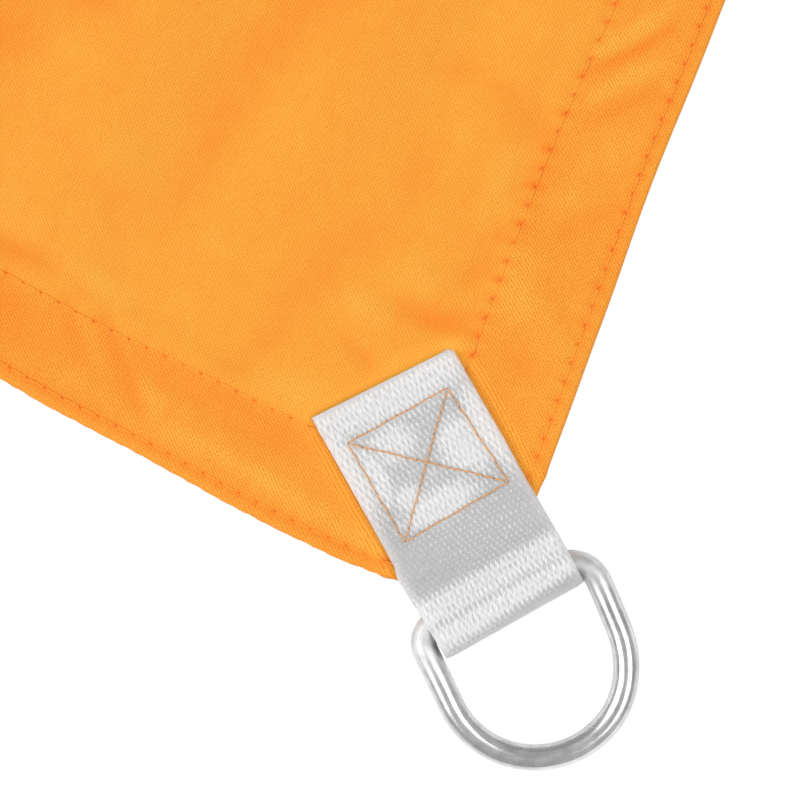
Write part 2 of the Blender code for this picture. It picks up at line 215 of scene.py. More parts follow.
# Small troughs (-) and swells (+) in the shown corner: height, half width, how much painted shade goes with
# it (painted light where negative), and the points that each runs through.
CREASES = (
    # height, half_width, tint, points
    # the long valley and the hollows in the single cloth
    (-0.0005, 0.011, 0.6, ((0.9281, -0.8841), (0.9172, -0.9050), (0.9138, -0.9165), (0.9127, -0.9298))),
    (
        -0.0004, 0.0074, 0.48,
        ((0.9159, -0.9083), (0.9136, -0.9175), (0.9130, -0.9261), (0.9121, -0.9365), (0.9120, -0.9494)),
    ),
    (-0.0003, 0.011, 0.35, ((0.9145, -0.8966), (0.9150, -0.9049), (0.9139, -0.9096))),
    (-0.0003, 0.006, 0.45, ((0.9482, -0.9012), (0.9529, -0.9012))),
    (-0.0003, 0.0062, 0.5, ((0.9598, -0.9024), (0.9664, -0.9037), (0.9737, -0.9086))),
    (-0.0003, 0.005, 0.35, ((0.9519, -0.9204), (0.9501, -0.9260))),
    (-0.0003, 0.0055, 0.55, ((0.9744, -0.9121), (0.9713, -0.9186))),
    (-0.0003, 0.005, 0.55, ((0.9736, -0.9261), (0.9702, -0.9304))),
    (-0.0003, 0.0045, 0.5, ((0.9733, -0.9326), (0.9696, -0.9377))),
    (-0.0003, 0.006, 0.35, ((0.9520, -0.9183), (0.9516, -0.9280), (0.9518, -0.9322))),
    (-0.0004, 0.0085, 0.52, ((0.9514, -0.9352), (0.9457, -0.9424), (0.9417, -0.9489), (0.9402, -0.9560))),
    (-0.00025, 0.005, 0.35, ((0.9402, -0.9560), (0.9391, -0.9635), (0.9349, -0.9708), (0.9306, -0.9780))),
    (-0.0004, 0.011, 0.7, ((0.8595, -0.9361), (0.8675, -0.9300), (0.8699, -0.9259))),
    (-0.0003, 0.0075, 0.6, ((0.8742, -0.9202), (0.8847, -0.9159))),
    (-0.0002, 0.007, 0.25, ((0.8982, -0.9509), (0.9021, -0.9538))),
    (-0.0005, 0.005, 0.70, ((0.8790, -0.9701), (0.8855, -0.9693), (0.8924, -0.9689))),
    (-0.0005, 0.0048, 0.90, ((0.9606, -0.9481), (0.9660, -0.9487), (0.9727, -0.9466))),
    (-0.0004, 0.0032, 0.55, ((0.9529, -0.9595), (0.9563, -0.9603), (0.9593, -0.9624))),
    (-0.0004, 0.0035, 0.50, ((0.9716, -0.9287), (0.9698, -0.9342), (0.9689, -0.9389))),
    (-0.0003, 0.004, 0.30, ((0.8982, -0.9509), (0.9028, -0.9573))),
    # swells between them
    (0.0004, 0.005, -0.45, ((0.9666, -0.9138), (0.9676, -0.9198), (0.9668, -0.9255))),
    (0.0004, 0.005, -0.40, ((0.9571, -0.9416), (0.9625, -0.9418))),
    (0.0003, 0.004, -0.40, ((0.9497, -0.9513), (0.9561, -0.9523))),
    (0.0003, 0.006, -0.55, ((0.9422, -0.9728), (0.9481, -0.9717), (0.9510, -0.9695))),
    (0.0003, 0.0035, -0.50, ((0.8972, -0.9667), (0.9027, -0.9681), (0.9096, -0.9693))),
    (0.0003, 0.008, -0.20, ((0.8907, -0.9414), (0.9002, -0.9457))),
    # across the east hem
    (-0.00055, 0.0020, 1.20, ((0.9732, -0.8923), (0.9794, -0.8864), (0.9853, -0.8773))),
    (0.00035, 0.003, -0.60, ((0.9741, -0.8874), (0.9798, -0.8802), (0.9836, -0.8734))),
    (0.00025, 0.0026, -0.50, ((0.9766, -0.8959), (0.9818, -0.8895), (0.9872, -0.8833))),
    (-0.00035, 0.0024, 0.65, ((0.9781, -0.9012), (0.9824, -0.8957), (0.9874, -0.8900))),
    (0.0002, 0.005, -0.25, ((0.9816, -0.9082), (0.9849, -0.9035), (0.9887, -0.9001))),
    (-0.0003, 0.003, 0.40, ((0.9820, -0.9224), (0.9862, -0.9183), (0.9898, -0.9131))),
    (0.0003, 0.004, -0.35, ((0.9795, -0.9177), (0.9823, -0.9143))),
    (0.0003, 0.007, -0.50, ((0.9769, -0.9310), (0.9790, -0.9382), (0.9851, -0.9398))),
    (-0.00025, 0.004, 0.35, ((0.9805, -0.9486), (0.9895, -0.9496))),
    (-0.00025, 0.004, 0.30, ((0.9862, -0.9350), (0.9916, -0.9390))),
    (0.0002, 0.008, -0.32, ((0.9878, -0.9381), (0.9911, -0.9446), (0.9936, -0.9531))),
    # across the south hem
    (-0.0005, 0.005, 0.80, ((0.8848, -0.9782), (0.8891, -0.9784), (0.8937, -0.9828))),
    (-0.0005, 0.0026, 0.60, ((0.8980, -0.9734), (0.9015, -0.9782), (0.9057, -0.9838))),
    (-0.0004, 0.0034, 0.85, ((0.9076, -0.9748), (0.9128, -0.9796), (0.9202, -0.9867))),
    (0.00012, 0.0026, -0.15, ((0.9032, -0.9753), (0.9073, -0.9799), (0.9111, -0.9846))),
    (-0.0004, 0.0036, 0.60, ((0.9198, -0.9801), (0.9285, -0.9805), (0.9386, -0.9815))),
    (-0.00045, 0.0042, 0.55, ((0.9313, -0.9820), (0.9421, -0.9821), (0.9529, -0.9824))),
    (0.0002, 0.0036, -0.50, ((0.9201, -0.9827), (0.9239, -0.9864))),
    (-0.0003, 0.006, 0.6, ((0.9166, -0.9781), (0.9300, -0.9789), (0.9435, -0.9800), (0.9532, -0.9807))),
    (-0.00012, 0.009, 0.45, ((0.8826, -0.9781), (0.8903, -0.9811), (0.8990, -0.9836))),
    (-0.0004, 0.0055, 0.9, ((0.8865, -0.9764), (0.8915, -0.9837))),
    (-0.0003, 0.0028, 0.6, ((0.8988, -0.9752), (0.9048, -0.9810))),
    (0.0003, 0.0034, -0.55, ((0.9280, -0.9888), (0.9409, -0.9890), (0.9567, -0.9909), (0.9731, -0.9932))),
    (0.00025, 0.003, -0.25, ((0.8949, -0.9865), (0.9038, -0.9872), (0.9169, -0.9878))),
)
# Distances from an edge of the grid lines of the cloth. The shown corner is divided once more afterwards.
SHOWN_LINES = np.concatenate((
    np.arange(0, 0.0270, 0.0015),
    np.arange(0.0285, 0.148, 0.0025),
    (0.152, 0.160, 0.174),
))
OTHER_LINES = np.array((
    0, 0.0008, 0.0016, 0.003, 0.0045, 0.008, 0.013,
    0.018, 0.0203, 0.0220, 0.0245, 0.027, 0.035, 0.05,
))
LINE_SPACING = 0.030
SHOWN_LENGTH = 0.150

# Rows of stitching: distance of the outer row from the edge, and of the inner row by place along the two
# edges of the shown corner.
OUTER_ROW = 0.0030
INNER_ROW = 0.0203
INNER_ROW_EAST = ((0.0, 0.0215), (0.050, 0.0218), (0.073, 0.0217), (0.120, 0.0201), (0.160, 0.0203))
INNER_ROW_SOUTH = ((0.0, 0.0212), (0.048, 0.0209), (0.085, 0.0193), (0.116, 0.0188), (0.160, 0.0203))
STITCH_PITCH = 0.0039
OUTER_START = 0.011
INNER_START = 0.023
# How large the painted shade marks at the needle holes are: outer and inner row of the side edges, then of
# the end edges
MARK_SIZES = (0.82, 1.06, 0.50, 0.45)
MARK_SLANT = 0.0014  # how far they slant off the row over one stitch

# The hem's low form: the rows of stitching draw grooves in it, and the cloth is slack between them
OUTER_GROOVE_DEPTH = 0.000288
INNER_GROOVE_DEPTH = 0.00016
GROOVE_WIDTH = 0.0011
SLACK_START = 0.15  # share of the way from the edge to the inner row
SLACK_DEPTH = 0.00018
PUCKER_HEIGHT = 0.00013
PUCKER_WIDTH = 0.0017
PUCKER_SLANT = 0.0006
# painted light on the gathers between the needle holes
PUCKER_PAINTED_LIGHT = 0.25
# painted shade along the inner row's groove and at the rounded edge
INNER_ROW_SHADE = 0.12
INNER_ROW_SHADE_WIDTH = 0.0008
EDGE_SHADE = 0.15
EDGE_SHADE_WIDTH = 0.0005
# How much the cloth looks like hem at the inner row, and how far past it this fades
HEM_LOOK_AT_ROW = 0.4
HEM_LOOK_FADE = 0.0018
# The rim outside the outer row gets painted shade, with a wavy inner margin. On the end edges it is drawn
# in at the needle holes, unevenly.
SIDE_RIM_SHADE = 0.52
END_RIM_SHADE = 0.90
RIM_SHADE_WIDTH = 0.0009
RIM_SHADE_SHIFT = 0.0005
RIM_SHADE_WAVE = 0.0004
RIM_SCALLOP = 0.00020
RIM_UNEVENNESS = 0.35
RIM_UNEVEN_TURN = 1.9
RIM_WIDTH = 0.0016
# Beside the webbing the cloth is raised to the hem's height and stands in a low ridge. There, and along the
# edges, it is painted paler: painted light that cancels the shade of the webbing and of the rounded edges.
WEBBING_REACH = 0.0152
RAISED_WITHIN = 0.004
RAISED_FADE = 0.014
RIDGE_HEIGHT = 0.00045
RIDGE_PLACE = 0.0020
RIDGE_HALF_WIDTH = 0.0018
PAINTED_LIGHT_BESIDE_WIDTH = 0.0013
EDGE_PAINTED_LIGHT = 0.32
EDGE_PAINTED_LIGHT_WIDTH = 0.0009

# Colours, linear
CLOTH_COLOUR = (0.833, 0.318, 0.0285, 1.0)
HEM_COLOUR = (0.833, 0.286, 0.0235, 1.0)
# painted shade in creases, hem grooves and round the needle holes
PAINTED_SHADE_COLOUR = (0.833, 0.234, 0.0150, 1.0)
# painted light on swells and gathers
PAINTED_LIGHT_COLOUR = (0.840, 0.385, 0.0450, 1.0)
# painted shade in the needle holes
HOLE_SHADE_COLOUR = (0.840, 0.165, 0.0130, 1.0)
# Each of these multiplies the colour below it
GRAIN_DARK = (0.91, 0.785, 0.22, 1.0)
GRAIN_LIGHT = (1.09, 1.215, 1.78, 1.0)
# painted light beside the webbing, where its shadow falls
PAINTED_LIGHT_BESIDE = (1.19, 1.42, 1.70, 1.0)
# The weave: waves across the cloth, as turns a metre over and along it, and their strength
TWILL_WAVES = ((1080.0, 1200.0, 0.22), (1120.0, -1220.0, 0.07), (2200.0, 0.0, 0.10))
HEM_WEAVE_TURN = math.radians(-4.0)


def smooth_bump(distance, half_width):
    """1 at the middle, 0 at half_width and beyond, with soft shoulders."""
    inside = np.clip(distance / half_width, 0.0, 1.0)
    return 0.5 + 0.5 * np.cos(np.pi * inside)


def groove(distance, width):
    """1 at the middle, dying away without an end."""
    return np.exp(-((distance / width) ** 2))


def place_along(points, start, end):
    """How far along the line from start to end each point lies (0 to 1), and its distance from that line."""
    line = np.subtract(end, start)
    share = np.clip((points - start) @ line / (line @ line), 0.0, 1.0)
    return share, np.linalg.norm(points - start - share[:, None] * line, axis=1)


def path_lengths(line):
    """Length of the way along a line of points to each of them."""
    return np.concatenate(((0,), np.cumsum(np.linalg.norm(np.diff(line, axis=0), axis=1))))


def loop_line(corner):
    """The ring's bar centre and the direction in which the webbing loop points, in plan."""
    name, outward_deg, bar_out, bar_side, loop_skew_deg, ring_skew_deg = corner
    outward = math.radians(outward_deg)
    direction = Vector((math.cos(outward), math.sin(outward)))
    point = Vector((math.copysign(HALF_SIDE, direction.x), math.copysign(HALF_SIDE, direction.y)))
    heading = math.radians(outward_deg + loop_skew_deg)
    bar_centre = point + direction * bar_out + Vector((-direction.y, direction.x)) * bar_side
    return bar_centre, Vector((math.cos(heading), math.sin(heading)))


def out_and_side(corner, points):
    """How far outward and to the left of a corner's ring bar places lie."""
    bar_centre, heading = loop_line(corner)
    away = points - np.array(bar_centre)
    return away @ np.array(heading), away @ np.array((-heading.y, heading.x))


def edge_inset(along, near_corner, waves, has_waves):
    """How far an edge is drawn in at a place along it. near_corner is the end where its waves are."""
    inset = EDGE_HOLLOW * (1 - (along / HALF_SIDE) ** 2)
    for centre, half_length, outward in waves:
        distance = np.abs(np.abs(along - near_corner) - centre)
        inset -= has_waves * outward * smooth_bump(distance, half_length)
    return inset


def insets(plain):
    """The inset of the east or west edge, and of the north or south edge, at places of the plain square."""
    x, y = plain.T
    sideways = edge_inset(y, -HALF_SIDE, EAST_EDGE_WAVES, x > 0)
    lengthways = edge_inset(x, HALF_SIDE, SOUTH_EDGE_WAVES, y < 0)
    return sideways, lengthways


def lie(plain):
    """Where places of the plain square lie: drawn in at the edges, in plan."""
    return plain * (1 - np.column_stack(insets(plain)) / HALF_SIDE)


def underside_height(points):
    """How far the cloth stands off the surface: over the lower legs of the loops, and in its folds."""
    height = np.zeros(len(points))
    for corner in CORNERS:
        bar_centre, heading = loop_line(corner)
        distance = place_along(points, bar_centre, bar_centre - heading * LEG_LENGTH)[1]
        beyond = np.maximum(distance - LIFT_PLATEAU, 0.0)
        height = np.maximum(height, CORNER_LIFT * smooth_bump(beyond, LIFT_FADE - LIFT_PLATEAU))
    for from_x, from_y, to_x, to_y, crest, half_width in FOLDS:
        share, distance = place_along(points, (from_x, from_y), (to_x, to_y))
        along_crest = FOLD_END_SHARE + (1 - FOLD_END_SHARE) * np.sin(math.pi * share)
        height = np.maximum(height, crest * along_crest * smooth_bump(distance, half_width))
    return height


def rounded(way):
    """The same way with its turns rounded off."""
    for _ in range(2 if len(way) > 2 else 0):
        quarters = np.stack((0.75 * way[:-1] + 0.25 * way[1:], 0.25 * way[:-1] + 0.75 * way[1:]), axis=1)
        way = np.concatenate((way[:1], quarters.reshape(-1, 2), way[-1:]))
    return way


def crease_reliefs(points):
    """Height of the small troughs and swells, and the painted shade and light that go with them."""
    deep, high, painted_shade, painted_light = np.zeros((4, len(points)))
    for height, half_width, painted_shading, way in CREASES:
        way = rounded(np.array(way))
        lengths = path_lengths(way)
        nearest, share = np.full(len(points), 9.0), np.zeros(len(points))
        for index, step in enumerate(np.diff(lengths)):
            part, distance = place_along(points, way[index], way[index + 1])
            closer = distance < nearest
            nearest = np.where(closer, distance, nearest)
            share = np.where(closer, (lengths[index] + part * step) / lengths[-1], share)
        form = smooth_bump(nearest, half_width)
        form *= CREASE_END_SHARE + (1 - CREASE_END_SHARE) * np.sin(math.pi * share)
        deep, high = np.minimum(deep, height * form), np.maximum(high, height * form)
        # the painted shade of the troughs and the painted light of the swells
        painted_shade, painted_light = np.maximum(painted_shade, painted_shading * form), np.minimum(painted_light, painted_shading * form)
    return deep + high, painted_shade + painted_light


def beside_webbing(points):
    """Distance from the outline of the nearest upper webbing leg. 0 under it."""
    nearest = np.full(len(points), 9.0)
    for corner in CORNERS:
        out, side = out_and_side(corner, points)
        distance = np.hypot(np.maximum(np.abs(side) - WEBBING_REACH, 0.0), np.maximum(-LEG_LENGTH - out, 0.0))
        nearest = np.minimum(nearest, distance)
    return nearest


def row_insets(plain):
    """Distances of places from the nearer east or west edge and from the nearer north or south edge, and how
    far in the inner row of stitching runs from each."""
    from_side, from_end = (HALF_SIDE - np.column_stack(insets(plain)) - np.abs(lie(plain))).T
    x, y = plain.T
    row_side = np.where(x > 0, np.interp(y + HALF_SIDE, *zip(*INNER_ROW_EAST)), INNER_ROW)
    row_end = np.where(y < 0, np.interp(HALF_SIDE - x, *zip(*INNER_ROW_SOUTH)), INNER_ROW)
    return from_side, from_end, row_side, row_end


def row_places(plain):
    """Of the nearest row of stitching: place along it in stitches, distance from it, size of its marks."""
    from_side, from_end, row_side, row_end = row_insets(plain)
    x, y = plain.T
    along_side = HALF_SIDE + np.where(x > 0, y, -y)
    along_end = HALF_SIDE + np.where(y < 0, x, -x)
    offsets = np.stack((
        from_side - OUTER_ROW, from_side - row_side,
        from_end - OUTER_ROW, from_end - row_end,
    ))
    places = np.stack((along_side, along_side, along_end, along_end))
    nearest = np.abs(offsets).argmin(axis=0)
    every = np.arange(len(plain))
    starts = np.array((OUTER_START, INNER_START, OUTER_START, INNER_START))[nearest]
    turns = (places[nearest, every] - starts) / STITCH_PITCH
    return np.column_stack((turns, offsets[nearest, every], np.array(MARK_SIZES)[nearest]))


def hem_reliefs(plain):
    """Height of the hem's own form over its flat top, how far the cloth is as thick as the hem, how far it
    looks like hem, the painted shade and light that go with it, and the distance from the nearest edge."""
    from_side, from_end, row_side, row_end = row_insets(plain)
    turns, off_row = row_places(plain).T[:2]
    between_holes = 0.5 - 0.5 * np.cos(2 * math.pi * turns)
    relief, painted_shading = np.zeros((2, len(plain)))
    sides, ends = (from_side, row_side, SIDE_RIM_SHADE), (from_end, row_end, END_RIM_SHADE)
    for from_edge, row, rim_shade in (sides, ends):
        slack = (from_edge / row - SLACK_START) / (1 - SLACK_START)
        relief -= SLACK_DEPTH * np.sin(math.pi * np.clip(slack, 0.0, 1.0))
        relief -= OUTER_GROOVE_DEPTH * groove(from_edge - OUTER_ROW, GROOVE_WIDTH)
        relief -= INNER_GROOVE_DEPTH * groove(from_edge - row, GROOVE_WIDTH)
        # painted shade along the inner row, and on the rim outside the outer row
        painted_shading += INNER_ROW_SHADE * groove(from_edge - row, INNER_ROW_SHADE_WIDTH)
        off_rim = from_edge - OUTER_ROW + RIM_SHADE_SHIFT - RIM_SHADE_WAVE * between_holes
        painted_shading += rim_shade * groove(off_rim, RIM_SHADE_WIDTH)
    # the cloth gathers a little between the needle holes, and the gathers get painted light
    gathered = between_holes * groove(off_row + PUCKER_SLANT * np.sin(2 * math.pi * turns), PUCKER_WIDTH)
    relief += PUCKER_HEIGHT * gathered
    painted_shading -= PUCKER_PAINTED_LIGHT * gathered
    nearest_edge = np.minimum(from_side, from_end)
    # painted shade at the rounded edge
    painted_shading += EDGE_SHADE * groove(nearest_edge, EDGE_SHADE_WIDTH)
    hem = np.clip((HEM_WIDTH + HEM_STEP_WIDTH - nearest_edge) / HEM_STEP_WIDTH, 0.0, 1.0)
    hem = hem * hem * (3 - 2 * hem)
    past_row = np.minimum(from_side - row_side, from_end - row_end)
    in_hem = np.clip(HEM_LOOK_AT_ROW - past_row / HEM_LOOK_FADE, 0.0, 1.0)
    return relief, hem, in_hem, painted_shading, nearest_edge


def cloth_form(plain):
    """Underside point, thickness, hem look, painted shade and light, and painted light beside the webbing and
    along the edges, at places of the plain square."""
    points = lie(plain)
    crease, crease_painted_shading = crease_reliefs(points)
    relief, hem, in_hem, hem_painted_shading, from_edge = hem_reliefs(plain)
    # the rim of the end edges is drawn in at the needle holes, unevenly
    turns = row_places(plain)[:, 0]
    drawn_in = RIM_SCALLOP * (0.5 + 0.5 * np.cos(2 * math.pi * turns))
    drawn_in *= 1 - RIM_UNEVENNESS * (1 - np.sin(RIM_UNEVEN_TURN * turns))
    on_end = np.abs(points[:, 1]) > np.abs(points[:, 0])
    points[:, 1] -= np.sign(points[:, 1]) * on_end * drawn_in * groove(from_edge, RIM_WIDTH)
    beside = beside_webbing(points)
    raised = smooth_bump(np.maximum(beside - RAISED_WITHIN, 0.0), RAISED_FADE)
    crease += (HEM_THICKNESS - CLOTH_THICKNESS) * (1 - hem) * raised
    crease += RIDGE_HEIGHT * smooth_bump(np.abs(beside - RIDGE_PLACE), RIDGE_HALF_WIDTH) * (beside > 0)
    height = np.maximum(underside_height(points) + crease + relief * hem, 0.0)
    thickness = CLOTH_THICKNESS + (HEM_THICKNESS - CLOTH_THICKNESS) * hem
    rounding = np.clip(1 - from_edge / EDGE_ROUNDING, 0.0, 1.0)
    thickness *= 1 - EDGE_THINNING * (1 - np.sqrt(1 - rounding**2))
    # painted light beside the webbing and along the edges
    painted_light = np.maximum(np.exp(-beside / PAINTED_LIGHT_BESIDE_WIDTH), EDGE_PAINTED_LIGHT * groove(from_edge, EDGE_PAINTED_LIGHT_WIDTH))
    return np.column_stack((points, height)), thickness, in_hem, crease_painted_shading + hem_painted_shading * in_hem, painted_light


def cloth_top(plain):
    """Points on the cloth's upper face at places of the plain square."""
    under, thickness = cloth_form(plain)[:2]
    return under + np.outer(thickness, (0, 0, 1))


def grid_lines(low_lines, high_lines):
    """Lines across the square: near its low edge, evenly over the middle, and near its high edge."""
    low = -HALF_SIDE + low_lines
    high = HALF_SIDE - high_lines[::-1]
    spans = round((high[0] - low[-1]) / LINE_SPACING)
    return np.concatenate((low, np.linspace(low[-1], high[0], spans + 1)[1:-1], high))


def read_points(mesh):
    values = np.empty(len(mesh.vertices) * 3)
    mesh.vertices.foreach_get("co", values)
    return values.reshape(-1, 3)


def write_points(mesh, points):
    mesh.vertices.foreach_set("co", np.ascontiguousarray(points, dtype=np.float64).ravel())
    mesh.update()


def add_point_values(mesh, name, values):
    """Stores a number or a vector at each point, for the material to read."""
    kind, key = ("FLOAT", "value") if np.ndim(values) == 1 else ("FLOAT_VECTOR", "vector")
    layer = mesh.attributes.new(name, kind, "POINT")
    layer.data.foreach_set(key, np.ascontiguousarray(values, dtype=np.float32).ravel())


def face_corner_points(mesh):
    """The point at each face corner of the mesh."""
    points = np.empty(len(mesh.loops), dtype=np.int32)
    mesh.loops.foreach_get("vertex_index", points)
    return points


def add_map(mesh, name, places):
    """A UV map from a place for each face corner, in metres."""
    mesh.uv_layers.new(name=name).data.foreach_set("uv", places.astype(np.float32).ravel())


def add_thickness(piece, thickness, shares, offset):
    """Thickens a sheet by a share of the thickness at each point, upward (offset 1) or both ways (0)."""
    group = piece.vertex_groups.new(name="thick")
    for index, share in enumerate(shares):
        group.add([index], float(share), "REPLACE")
    thicken = piece.modifiers.new("thicken", "SOLIDIFY")
    thicken.thickness = thickness
    thicken.offset = offset
    thicken.vertex_group = "thick"
    thicken.thickness_vertex_group = 0.0


columns = grid_lines(OTHER_LINES, SHOWN_LINES)
rows = grid_lines(SHOWN_LINES, OTHER_LINES)
cloth_shape = bmesh.new()
bmesh.ops.create_grid(cloth_shape, x_segments=len(columns) - 1, y_segments=len(rows) - 1, size=1.0)
for vertex in cloth_shape.verts:
    column = round((vertex.co.x + 1) / 2 * (len(columns) - 1))
    row = round((vertex.co.y + 1) / 2 * (len(rows) - 1))
    vertex.co = (columns[column], rows[row], 0.0)
shown = [
    edge
    for edge in cloth_shape.edges
    if all(v.co.x > HALF_SIDE - SHOWN_LENGTH and v.co.y < SHOWN_LENGTH - HALF_SIDE for v in edge.verts)
]
bmesh.ops.subdivide_edges(cloth_shape, edges=shown, cuts=1, use_grid_fill=True)
cloth_mesh = finished_mesh("woven_cloth", cloth_shape)

plain_places = read_points(cloth_mesh)[:, :2]
cloth_points, cloth_thickness, cloth_hem, cloth_painted_shading, cloth_painted_light = cloth_form(plain_places)
write_points(cloth_mesh, cloth_points)
add_point_values(cloth_mesh, "thickness", cloth_thickness)
add_point_values(cloth_mesh, "hem", cloth_hem)
# painted shade (above 0) and painted light (below 0) for the material
add_point_values(cloth_mesh, "hollow", cloth_painted_shading)
# painted light beside the webbing and along the edges
add_point_values(cloth_mesh, "beside_webbing", cloth_painted_light)
add_point_values(cloth_mesh, "row_place", row_places(plain_places))

# The yarns follow the plain square. In the turned hems they run at a slight angle to it.
corner_points = face_corner_points(cloth_mesh)
face_sizes = [face.loop_total for face in cloth_mesh.polygons]
face_of_corner = np.repeat(np.arange(len(face_sizes)), face_sizes)
face_hem = np.bincount(face_of_corner, cloth_hem[corner_points]) / np.bincount(face_of_corner)
turned = face_hem[face_of_corner] > 0.5
turn_cos, turn_sin = math.cos(HEM_WEAVE_TURN), math.sin(HEM_WEAVE_TURN)
weave_places = plain_places[corner_points]
turned_places = weave_places @ np.array(((turn_cos, turn_sin), (-turn_sin, turn_cos)))
add_map(cloth_mesh, "weave", np.where(turned[:, None], turned_places, weave_places))

# the four corners are cut off short of the ring's bar
cloth_shape = bmesh.new()
cloth_shape.from_mesh(cloth_mesh)
for corner in CORNERS:
    bar_centre, heading = loop_line(corner)
    bmesh.ops.bisect_plane(
        cloth_shape,
        geom=cloth_shape.verts[:] + cloth_shape.edges[:] + cloth_shape.faces[:],
        dist=1e-6,
        plane_co=(bar_centre - heading * CLOTH_END).to_3d(),
        plane_no=heading.to_3d(),
        clear_outer=True,
    )
cloth_shape.to_mesh(cloth_mesh)
cloth_shape.free()
cloth_mesh.shade_smooth()
cloth = new_object("woven_cloth", cloth_mesh)
thickness_values = np.empty(len(cloth_mesh.vertices), dtype=np.float32)
cloth_mesh.attributes["thickness"].data.foreach_get("value", thickness_values)
add_thickness(cloth, HEM_THICKNESS, thickness_values.astype(float) / HEM_THICKNESS, offset=1.0)




class Finish:
    """A material made of nodes, and what its parts are made with. A place or a number that is given to these
    is a constant or another node's output."""

    def __init__(self, name, roughness, metallic=0.0, specular=0.5):
        self.material = bpy.data.materials.new(name)
        self.material.use_nodes = True
        self.tree = self.material.node_tree
        self.sockets = self.tree.nodes["Principled BSDF"].inputs
        self.sockets["Roughness"].default_value = roughness
        self.sockets["Metallic"].default_value = metallic
        self.sockets["Specular IOR Level"].default_value = specular

    def node(self, kind, inputs, output=0, **settings):
        added = self.tree.nodes.new("ShaderNode" + kind)
        for name, value in settings.items():
            setattr(added, name, value)
        for socket, value in inputs.items():
            if isinstance(value, bpy.types.NodeSocket):
                self.tree.links.new(value, added.inputs[socket])
            else:
                added.inputs[socket].default_value = value
        return added.outputs[output]

    def link(self, value, socket):
        self.tree.links.new(value, self.sockets[socket])

    def maths(self, operation, first, second=0.0, third=0.0):
        return self.node("Math", {0: first, 1: second, 2: third}, operation=operation)

    def add(self, first, second):
        return self.maths("ADD", first, second)

    def times(self, first, second, plus=0.0):
        return self.maths("MULTIPLY_ADD", first, second, plus)

    def spread(self, value, from_low, from_high, to_low=0.0, to_high=1.0):
        """The value's range stretched over another one."""
        return self.node("MapRange", {0: value, 1: from_low, 2: from_high, 3: to_low, 4: to_high})

    def mixed(self, share, first, second, blend="MIX"):
        """The colour first where share is 0, second where it is 1."""
        colours = {0: share, 6: first, 7: second}
        return self.node("Mix", colours, output=2, data_type="RGBA", blend_type=blend)

    def strip_map(self, name):
        return self.node("UVMap", {}, uv_map=name)

    def point_value(self, name):
        return self.node("Attribute", {}, output=2, attribute_name=name)

    def point_place(self, name):
        return self.node("Attribute", {}, output=1, attribute_name=name)

    def split(self, place):
        """The place's X, Y and Z."""
        return self.node("SeparateXYZ", {0: place}).node.outputs

    def noise(self, place, scale, detail=2.0, output=0):
        """Soft noise with about this many spots a metre along X, Y and Z."""
        scaled = self.node("Mapping", {"Vector": place, "Scale": scale})
        return self.node("TexNoise", {"Vector": scaled, "Scale": 1.0, "Detail": detail}, output)

    def wave(self, place, over, along):
        """A wave from -1 to 1 over the place, with this many turns a metre each way."""
        turns = (2 * math.pi * over, 2 * math.pi * along, 0.0)
        return self.maths("COSINE", self.node("VectorMath", {0: place, 1: turns}, 1, operation="DOT_PRODUCT"))

    def bump(self, strength, distance, height):
        relief = self.node("Bump", {"Strength": strength, "Distance": distance, "Height": height})
        self.link(relief, "Normal")

    def cover(self, piece, slot, replaced=None):
        """Puts the finish on a piece of the sail, which may stand for a CAD node."""
        piece.data.materials.clear()
        piece.data.materials.append(self.material)
        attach(piece, "root")
        if replaced:
            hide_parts(replaced)


# Twill cloth: small rounded dots where the yarns cross, faint streaks along the yarns, painted shade in
# hollows, grooves and needle holes, and painted light on swells, gathers and beside the webbing.
twill = Finish("orange_twill", roughness=0.62, specular=0.25)
twill.sockets["Sheen Weight"].default_value = 0.08
twill.sockets["Sheen Roughness"].default_value = 0.45
weave_place = twill.strip_map("weave")
weave = 0.0
for over, along, strength in TWILL_WAVES:
    weave = twill.times(twill.wave(weave_place, over, along), strength, weave)
yarns = twill.noise(weave_place, (2600.0, 3300.0, 1.0))
clouds = twill.noise(weave_place, (58.0, 50.0, 1.0), detail=3.0)
mottles = twill.noise(weave_place, (330.0, 240.0, 1.0))
hem_value = twill.point_value("hem")
# painted shade and light of the creases and hems, with random tone
painted_shade_and_tone = twill.add(twill.point_value("hollow"), twill.spread(clouds, 0.3, 0.7, -0.15, 0.15))
painted_shade_and_tone = twill.add(painted_shade_and_tone, twill.spread(mottles, 0.25, 0.75, -0.16, 0.16))
# painted shade at the needle holes, and round them where the cloth is drawn in, unevenly
turn, off_row, mark_size = twill.split(twill.point_place("row_place"))
stitch_turn = twill.add(turn, 0.5)
from_hole = twill.maths("SUBTRACT", twill.maths("FRACT", stitch_turn), 0.5)
off_row = twill.times(from_hole, MARK_SLANT, off_row)
off_row = twill.maths("DIVIDE", twill.maths("ABSOLUTE", off_row), mark_size)
from_hole = twill.maths("DIVIDE", twill.maths("ABSOLUTE", from_hole), mark_size)
pull = twill.node("TexWhiteNoise", {"W": twill.maths("FLOOR", stitch_turn)}, noise_dimensions="1D")
near_hole = twill.spread(from_hole, 0.06, 0.26, 1.0, 0.0)
hole_shade = twill.times(near_hole, twill.spread(off_row, 0.00018, 0.00080, 1.0, 0.0))
hole_shade = twill.times(hole_shade, twill.spread(pull, 0.0, 1.0, 0.45, 0.95))
round_hole = twill.spread(from_hole, 0.08, 0.36, 1.0, 0.0)
hole_ring_shade = twill.times(round_hole, twill.spread(off_row, 0.0002, 0.0026, 1.0, 0.0))
painted_shade_and_tone = twill.times(hole_ring_shade, twill.spread(pull, 0.1, 1.0, 0.20, 1.00), painted_shade_and_tone)
colour = twill.mixed(hem_value, CLOTH_COLOUR, HEM_COLOUR)
